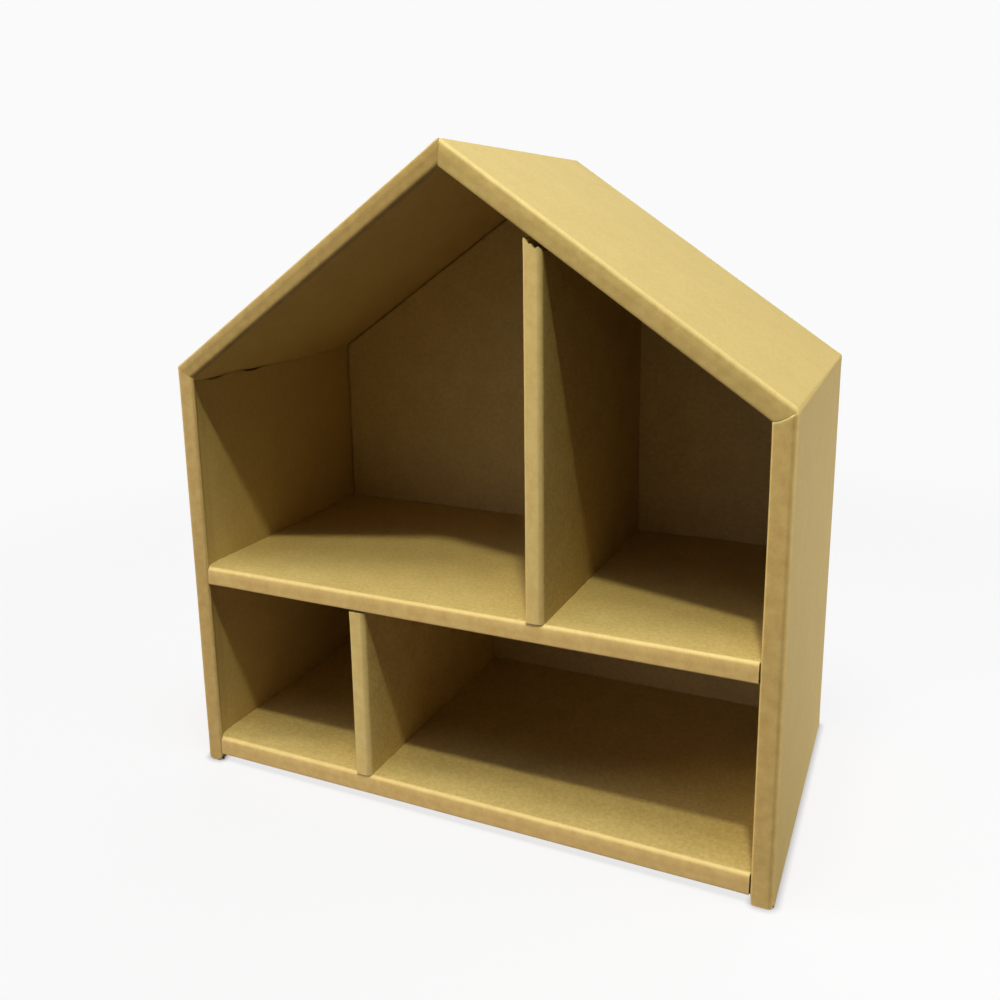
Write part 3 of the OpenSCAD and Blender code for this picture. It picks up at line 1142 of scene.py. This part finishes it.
@dataclass
class Divider(Sleeve):
    """An upright sleeve between two shelves, or between a shelf and the roof."""

    middle: float = 0.0
    foot: float = 0.0
    top: float = 0.0
    under_roof: bool = False
    gap: float = 3.5
    left_bend: Bend = (1.4, 5, 0.25)
    right_bend: Bend = (4.6, 9, 0.1)
    # Spacing of points on the front strip, close enough for its teeth, and what they may stick out.
    strip_spacing: float = 0.8
    hair: float = 0.3
    # The rough cut of the front strip's top: share of its width, then distance below the roof's strip.
    teeth: tuple[Pair, ...] = (
        (0.0, 5.2), (0.16, 3.3), (0.2, 4.6), (0.32, 6.4), (0.4, 4.9), (0.48, 4.4), (0.53, 5.8), (0.66, 5.9),
        (0.76, 3.3), (0.86, 2.2), (0.9, 3.2), (1.0, 2.6),
    )
    # Places and width of the torn tips, as shares of the strip's width, and how far down they reach.
    torn: tuple[float, ...] = (0.1, 0.5, 0.84)
    torn_width: float = 0.3
    torn_reach: float = 2.3
    tab_heights: tuple[float, ...] = ()

    @property
    def left(self) -> float:
        """Place of the left face."""
        return self.middle - self.thick / 2

    def section(self) -> Section:
        """Returns the sleeve's section: place across, then depth."""
        h = HOUSE
        y, x0, x1 = h.room_depth - h.seam, self.left, self.left + self.thick
        return Section.folded([
            Fold(Vector((x0, y))),
            Fold(Vector((x0, 0)), *self.left_bend, spacing=self.strip_spacing, strip=True),
            Fold(Vector((x1, 0)), *self.right_bend),
            Fold(Vector((x1, y)), *REAR_BEND),
            Fold(Vector((x0 + h.board + h.seam, y))),
        ], h.board, self.step)

    def reach(self, p: Vector) -> Pair:
        """Returns the heights of foot and top at a point of the section."""
        h = HOUSE
        if not self.under_roof:
            return self.foot, self.top
        roof = h.ridge - abs(p.x) * h.slope
        if p.y > h.board + self.hair:
            return self.foot, roof - (h.roof_face(p.y) + self.gap) / math.cos(h.pitch)
        cut = along_line([Vector((g, t)) for t, g in self.teeth], (p.x - self.left) / self.thick)
        return self.foot, roof - h.roof_front / math.cos(h.pitch) - cut

    def wear_and_highlight_at(self, p: Vector, from_start: float, to_end: float) -> float:
        """The torn tips of the front strip's top show the paper's pale inside."""
        if not self.under_roof or p.y > HOUSE.board or to_end > self.torn_reach:
            return 0.0
        return max(bump((p.x - self.left) / self.thick, at, self.torn_width) for at in self.torn)

    def place(self, p: Vector, along: float) -> Vector:
        """Returns the place of a point of the divider."""
        return Vector((p.x, p.y - HOUSE.depth / 2, along))

    def tabs(self) -> list[Box]:
        """Lists the tabs that go through the back."""
        h = HOUSE
        near, far = h.room_depth - h.tab_root, h.room_depth + h.tab_reach
        return [
            Box((self.left, near, z - self.tab / 2), (self.left + h.board, far, z + self.tab / 2))
            for z in self.tab_heights
        ]


# ---- the back


@dataclass
class BackPan:
    """The pan-shaped back: a face with rounded creases and five flanges that point to the rear."""

    node: str = "back_panel"
    slot: str = "back"
    # Outer radius of the creases, their steps, and their burnish and painted highlight.
    crease: float = 3.4
    steps: int = 6
    wear_and_highlight: float = 0.5
    spacing: float = 12.0
    slit: float = 0.8
    clear: float = 0.2
    # Distances behind the face at which the flanges have their rows of points.
    flange_rows: tuple[float, ...] = (5.0, 11.0, 20.0)
    # Closer points near the face's edges across; its rows in hundredths of its height.
    near_edge: Pair = (1.0, 3.0)
    near_row: Pair = (0.3, 1.0)
    row: float = 2.6
    # The face's bow: height, size and seed of its noise over a height of about 500 mm, and how fast it
    # sets in from the edges.
    bow: float = 0.5
    bow_noise: Pair = (150.0, 5.5)
    bow_height: float = 500.0
    bow_rise: float = 12.0

    def corners(self, inset: float) -> list[Vector]:
        """Returns the pan's five corners, drawn in by an inset, from the lower left round the front."""
        h = HOUSE
        x = h.half - h.wall_rear - self.clear - inset
        roof = (h.roof_rear + self.clear + inset) / math.cos(h.pitch)
        z = h.eave + (h.half - x) * h.slope - roof
        return [Vector(p) for p in ((-x, inset), (x, inset), (x, z), (0, h.ridge - roof), (-x, z))]

    def rings(self, layer: float) -> list[tuple[float, float, bool]]:
        """Lists the rings from the face over the crease to the rear edge.

        Args:
            layer: 0 for the outer face of the sheet, its thickness for the inner one.

        Returns:
            For each ring its inset, its depth and whether it belongs to a flange.
        """
        h = HOUSE
        r = self.crease - layer
        made = []
        for k in range(self.steps + 1):
            a = math.pi / 2 * k / self.steps
            made.append((layer + r * (1 - math.sin(a)), h.room_depth + layer + r * (1 - math.cos(a)), False))
        return made + [(layer, y, True) for y in (*(h.room_depth + d for d in self.flange_rows), h.depth)]

    def point(self, sheet: SheetMesh, x: float, y: float, z: float, wear_and_highlight: float = 0.0) -> int:
        """Adds a point, given in millimetres, and returns its number."""
        return sheet.point(Vector((x, y - HOUSE.depth / 2, z)), crease=wear_and_highlight, across=x * MM)

    def face(self, sheet: SheetMesh, corners: Sequence[Vector], depth: float) -> list[list[int]]:
        """Adds the gabled face with its slight bow.

        Args:
            sheet: the mesh that is being made.
            corners: the face's five corners.
            depth: depth of the face from the front.

        Returns:
            The points' numbers, column by column from the left and each from the bottom.
        """
        foot, (wide, eave), peak = corners[0].y, corners[2], corners[3].y
        right = spread(wide, self.near_edge, self.spacing)
        rows = [0.0, *(v / 100 for v in spread(100.0, self.near_row, self.row)), 1.0]
        grid: list[list[int]] = []
        for x in (-wide, *(-x for x in reversed(right)), 0.0, *right, wide):
            share = 1 - abs(x) / wide
            top = eave + (peak - eave) * share
            column = []
            for v in rows:
                rise = ripple(Vector((x, 0, v * self.bow_height)), *self.bow_noise)
                free = min(1.0, self.bow_rise * v * (1 - v)) * min(1.0, share * self.bow_rise)
                column.append(self.point(sheet, x, depth + self.bow * rise * free, foot + (top - foot) * v))
            grid.append(column)
        for a, b in zip(grid, grid[1:]):
            for j in range(len(rows) - 1):
                sheet.quad((a[j], b[j], b[j + 1], a[j + 1]))
        return grid

    def side(self, sheet: SheetMesh, layer: float) -> list[list[list[int]]]:
        """Adds one side of the board: the pan's face, its creases and its five flanges.

        Args:
            sheet: the mesh that is being made.
            layer: 0 for the outer face of the sheet, its thickness for the inner one.

        Returns:
            For each flange its rows of points, from the crease to the rear edge.
        """
        sheet.flip = layer > 0
        rings = self.rings(layer)
        corners = self.corners(rings[0][0])
        grid = self.face(sheet, corners, rings[0][1])
        middle = len(grid) // 2
        tops = [column[-1] for column in grid]
        border = [[column[0] for column in grid], grid[-1], tops[middle:][::-1], tops[: middle + 1][::-1],
                  grid[0][::-1]]
        flanges = []
        for i, ids in enumerate(border):
            start, end = corners[i], corners[(i + 1) % len(corners)]
            places = [Vector((sheet.verts[k].x, sheet.verts[k].z)) / MM for k in ids]
            shares = [(p - start).length / (end - start).length for p in places]
            rows = []
            for k, (inset, y, free) in enumerate(rings[1:], 1):
                ring = self.corners(inset)
                a, b = ring[i], ring[(i + 1) % len(ring)]
                if free:
                    pull = (b - a).normalized() * self.slit
                    a, b = a + pull, b - pull
                wear_and_highlight = self.wear_and_highlight if not free and layer == 0 else 0.0
                row = [self.point(sheet, at.x, y, at.y, wear_and_highlight) for at in (a.lerp(b, s) for s in shares)]
                for c in range(len(row) - 1):
                    sheet.quad((ids[c], row[c], row[c + 1], ids[c + 1]))
                ids = row
                if k >= self.steps:
                    rows.append(row)
            flanges.append(rows)
        return flanges

    def build(self, slots: Sequence[Box]) -> Object:
        """Makes the back and cuts the slots for the tabs.

        Args:
            slots: the openings for the tabs.

        Returns:
            The new object.
        """
        sheet = SheetMesh()
        sides = [self.side(sheet, layer) for layer in (0.0, HOUSE.board)]
        sheet.flip = False
        one_flute = (0.0, HOUSE.flute_pitch)
        for outer, inner in zip(*sides):
            for k in range(len(outer[-1]) - 1):
                span = (k * self.spacing, (k + 1) * self.spacing)
                sheet.rim(outer[-1][k : k + 2], inner[-1][k : k + 2], span, Cover.ACROSS)
            for (o1, o2), (i1, i2) in zip(zip(outer, outer[1:]), zip(inner, inner[1:])):
                sheet.rim((o1[0], o2[0]), (i1[0], i2[0]), one_flute, Cover.ALONG)
                # At a flange's far end, inside its narrow slit, the cut's lines run across the board.
                sheet.rim((o1[-1], i1[-1]), (o2[-1], i2[-1]), one_flute, Cover.ALONG)
        piece = dressed("back_pan", sheet.mesh("back_pan"), BACK, CUT_ACROSS, CUT_ALONG)
        self.cut(piece, slots)
        seat(piece, self.node, self.slot)
        return piece

    def cut(self, piece: Object, slots: Sequence[Box]) -> None:
        """Cuts the slots through the pan and applies the result.

        Args:
            piece: the pan.
            slots: what to cut away.
        """
        merged = bmesh.new()
        for i, box in enumerate(slots):
            merged.from_mesh(box.mesh(f"slot_{i}"))
        mesh = bpy.data.meshes.new("slots")
        merged.to_mesh(mesh)
        merged.free()
        cutter = dressed("slots", mesh, CUT_ACROSS)
        change = piece.modifiers.new("slots", "BOOLEAN")
        change.object, change.operation, change.solver = cutter, "DIFFERENCE", "EXACT"
        change.material_mode = "TRANSFER"
        shaped = bpy.data.meshes.new_from_object(piece.evaluated_get(bpy.context.evaluated_depsgraph_get()))
        piece.modifiers.clear()
        piece.data = shaped
        bpy.data.objects.remove(cutter)


# ---- stage, light and camera


@dataclass(frozen=True)
class PaleFloor(Finish):
    """Matt white paper floor: a pale ground that keeps the house's shadow and fades into the backdrop."""

    name: str = "pale_paper_floor"
    pale: str = "#FAFAFA"
    # What the lamps light of it for the camera, and the reach of its contact shadow.
    lit_share: float = 0.2
    lit_colour: Triple = (0.8, 0.8, 1.09)
    contact_mm: float = 7.0
    contact_samples: int = 8
    roughness: float = 0.9
    # Distances in metres between which it fades into the backdrop.
    fade: Pair = (0.6, 1.5)
    # What the house sees of it: behind and in front, and how the level turns from the one to the other.
    bounce: str = "#F8F6EE"
    bounce_front: str = "#F4E3D2"
    bright_side: Triple = (0.05, 1.0, 0.0)
    level: Ramp = (-0.6, 1.0, 0.045, 0.66)
    warmth: Pair = (-0.9, 0.1)
    # A somewhat brighter apron just before the house: its place, and from where to where it fades.
    apron_at: Triple = (0.0, -0.25, 0.0)
    apron: Ramp = (0.18, 0.42, 0.2, 0.0)

    def nodes(self, tree: NodeTree, shader: Node) -> None:
        """Shows the camera a pale floor, and lets other rays see a dimmer one that is darkest in front.

        Args:
            tree: the material's node tree.
            shader: its Principled shader.
        """
        add = partial(add_node, tree)
        place = add("NewGeometry", out="Position")
        near = add("AmbientOcclusion", {"Distance": self.contact_mm * MM}, "AO", samples=self.contact_samples)
        clear = add("Math", (near, 1 - self.lit_share), operation="MULTIPLY")
        glow = add("Emission", (linear(self.pale), clear))
        feed(shader, {
            "Base Color": (*(self.lit_share * v for v in self.lit_colour), 1.0),
            "Roughness": self.roughness, "Specular IOR Level": 0.0})
        shown = add("AddShader", (glow, shader.outputs[0]))
        far = add("VectorMath", (place,), "Value", operation="LENGTH")
        fade = add("MapRange", (far, *self.fade), interpolation_type="SMOOTHSTEP")
        ground = add("MixShader", (fade, shown, add("Emission", (linear(self.pale), 1.0))))
        way = add("VectorMath", (place,), operation="NORMALIZE")
        side = add("VectorMath", (way, self.bright_side), "Value", operation="DOT_PRODUCT")
        aside = add("VectorMath", (place, self.apron_at), "Value", operation="DISTANCE")
        apron = add("MapRange", (aside, *self.apron), interpolation_type="SMOOTHSTEP")
        level = add("Math", (add("MapRange", (side, *self.level)), apron), operation="ADD")
        tone = add("Mix", {
            0: add("MapRange", (side, *self.warmth)), 6: linear(self.bounce_front), 7: linear(self.bounce),
        }, 2, data_type="RGBA")
        seen = add("LightPath", out="Is Camera Ray")
        final = add("MixShader", (seen, add("Emission", (tone, level)), ground))
        feed(tree.nodes["Material Output"], {"Surface": final})


@dataclass(frozen=True)
class Lamp:
    """A round soft lamp that looks at the middle of the house."""

    name: str
    at: Triple
    size: float
    power: float
    colour: str
    aim: Triple = (0.0, 0.0, 0.25)

    def build(self) -> None:
        """Hangs the lamp."""
        light = bpy.data.lights.new(self.name, "AREA")
        light.shape, light.size, light.energy = "DISK", self.size, self.power
        light.color = linear(self.colour)[:3]
        lamp = linked(self.name, light)
        lamp.location = self.at
        lamp.rotation_mode = "QUATERNION"
        lamp.rotation_quaternion = (Vector(self.aim) - Vector(self.at)).to_track_quat("-Z", "Y")


@dataclass(frozen=True)
class Glow:
    """A soft part of the surroundings: the way it lies, its sideways fade and its lowest and highest sine."""

    way: Triple
    fade: Pair
    band: Pair
    strength: float
    colour: str
    edge: float = 0.05

    def build(self, tree: NodeTree, way: NodeSocket, height: NodeSocket
              ) -> NodeSocket:
        """Adds the glow to the world's nodes.

        Args:
            tree: the world's node tree.
            way: direction that is looked at.
            height: the upward part of that direction.

        Returns:
            The glow's shader output.
        """
        add = partial(add_node, tree)
        side = add("VectorMath", (way, self.way), "Value", operation="DOT_PRODUCT")
        level = add("MapRange", (side, *self.fade, 0.0, self.strength))
        for limit, edge in ((self.band[0], self.edge), (self.band[1], -self.edge)):
            gate = add("MapRange", (height, limit - edge, limit + edge), interpolation_type="SMOOTHSTEP")
            level = add("Math", (level, gate), operation="MULTIPLY")
        return add("Background", (linear(self.colour), level))


@dataclass(frozen=True)
class Studio:
    """Floor, backdrop colour, soft lamps and the camera at the photograph's place, in metres."""

    lamps: tuple[Lamp, ...] = (
        Lamp("key", (0.47, -0.965, 2.4), 0.12, 22.4, "#FFFBC2"),
        Lamp("top_front", (0.2, -0.45, 2.6), 0.8, 25.9, "#F8FFE2"),
        Lamp("front_left", (-4.8, -1.9, 1.0), 1.6, 138.0, "#FFF3C4"),
        Lamp("right_low", (1.6, 0.2, 0.25), 0.8, 10.4, "#FFF6CE"),
    )
    glows: tuple[Glow, ...] = (
        Glow((0.0, -1.0, 0.0), (-0.1, 0.1), (0.82, 1.1), 1.35, "#FFFAF2"),
        Glow((0.4, 0.92, 0.0), (0.0, 0.71), (0.42, 0.82), 1.24, "#FCFEF2"),
        Glow((-0.94, -0.34, 0.0), (0.0, 1.0), (-0.1, 0.42), 0.46, "#F6F4FF"),
    )
    backdrop: str = "#FAFAFA"
    floor_radius: float = 6.0
    floor_sides: int = 96
    camera_at: Triple = (0.36113, -0.80709, 0.52497)
    right: Triple = (0.920053, 0.391747, -0.005245)
    down: Triple = (0.074746, -0.188653, -0.979194)
    ahead: Triple = (-0.384594, 0.900522, -0.202856)
    lens: float = 33.685
    sensor: float = 36.0
    shift: Pair = (-0.03549, -0.08223)

    def build(self) -> None:
        """Makes the stage, the lights and the camera."""
        self.floor()
        self.world()
        for lamp in self.lamps:
            lamp.build()
        self.camera()

    def floor(self) -> None:
        """Lays a wide round floor."""
        mesh = bpy.data.meshes.new("floor")
        work = bmesh.new()
        bmesh.ops.create_circle(work, cap_ends=True, segments=self.floor_sides, radius=self.floor_radius)
        work.to_mesh(mesh)
        work.free()
        floor = dressed("floor", mesh, PaleFloor())

    def world(self) -> None:
        """Gives soft light from three sides, and the camera a pale backdrop."""
        world = bpy.data.worlds.new("studio")
        bpy.context.scene.world = world
        world.use_nodes = True
        add = partial(add_node, world.node_tree)
        way = add("TexCoord", out="Generated")
        height = add("SeparateXYZ", (way,), "Z")
        soft, *others = (glow.build(world.node_tree, way, height) for glow in self.glows)
        for other in others:
            soft = add("AddShader", (soft, other))
        pale = add("Background", (linear(self.backdrop), 1.0))
        shown = add("MixShader", (add("LightPath", out="Is Camera Ray"), soft, pale))
        feed(world.node_tree.nodes["World Output"], {"Surface": shown})

    def camera(self) -> None:
        """Puts the camera where the photograph was taken from."""
        data = bpy.data.cameras.new("camera")
        data.lens, data.sensor_width = self.lens, self.sensor
        data.shift_x, data.shift_y = self.shift
        camera = linked("camera", data)
        axes = Matrix((self.right, [-v for v in self.down], [-v for v in self.ahead])).transposed()
        camera.matrix_world = Matrix.Translation(self.camera_at) @ axes.to_4x4()
        bpy.context.scene.camera = camera


# ---- the whole bookcase

# Clearance of the back's slots round the tabs.
SLOT_CLEAR = 0.5


def main() -> None:
    """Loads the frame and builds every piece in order."""
    logging.basicConfig(level=logging.INFO, format="%(name)s: %(message)s")
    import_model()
    Wall("left_wall", "wrap", LEFT_WALL, hand=Hand.LEFT).build()
    Wall("right_wall", "wrap", RIGHT_WALL, hand=Hand.RIGHT, outer_trim=(2.0, 4.0),
         inner_trim=(2.0, 9.6)).build()
    RoofSide("left_roof", "wrap", LEFT_ROOF, hand=Hand.LEFT).build()
    RoofSide("right_roof", "wrap", RIGHT_ROOF, hand=Hand.RIGHT, strip=(
        ((0.0, 1.5), (4.6, 9, 0.4)), ((8.0, 0.25), (40.0, 9, 0.0)), ((18.4, 0.0), (1.8, 9, 0.2)))).build()
    slots: list[Box] = []
    for piece in (
        Shelf("base_panel", "shelf_board", SHELF, bottom=7.6, thick=18.4),
        Shelf("middle_shelf", "shelf_board", SHELF, bottom=187.4, thick=17.2),
        Divider("upper_divider", "divider_board", UPPER_DIVIDER, middle=78.5, foot=204.6, under_roof=True,
                tab_heights=(254.6, 364.6)),
        Divider("lower_divider", "divider_board", LOWER_DIVIDER, middle=-94.4, foot=26.0, top=186.0,
                tab_heights=(106.7,)),
    ):
        piece.build()
        for i, box in enumerate(piece.tabs()):
            piece.tab_board(f"{piece.node}_tab_{i + 1}", box)
            slots.append(box.grown(SLOT_CLEAR))
    BackPan().build(slots)
    Studio().build()
    bpy.context.scene.view_settings.view_transform = "Standard"


if __name__ == "__main__":
    main()
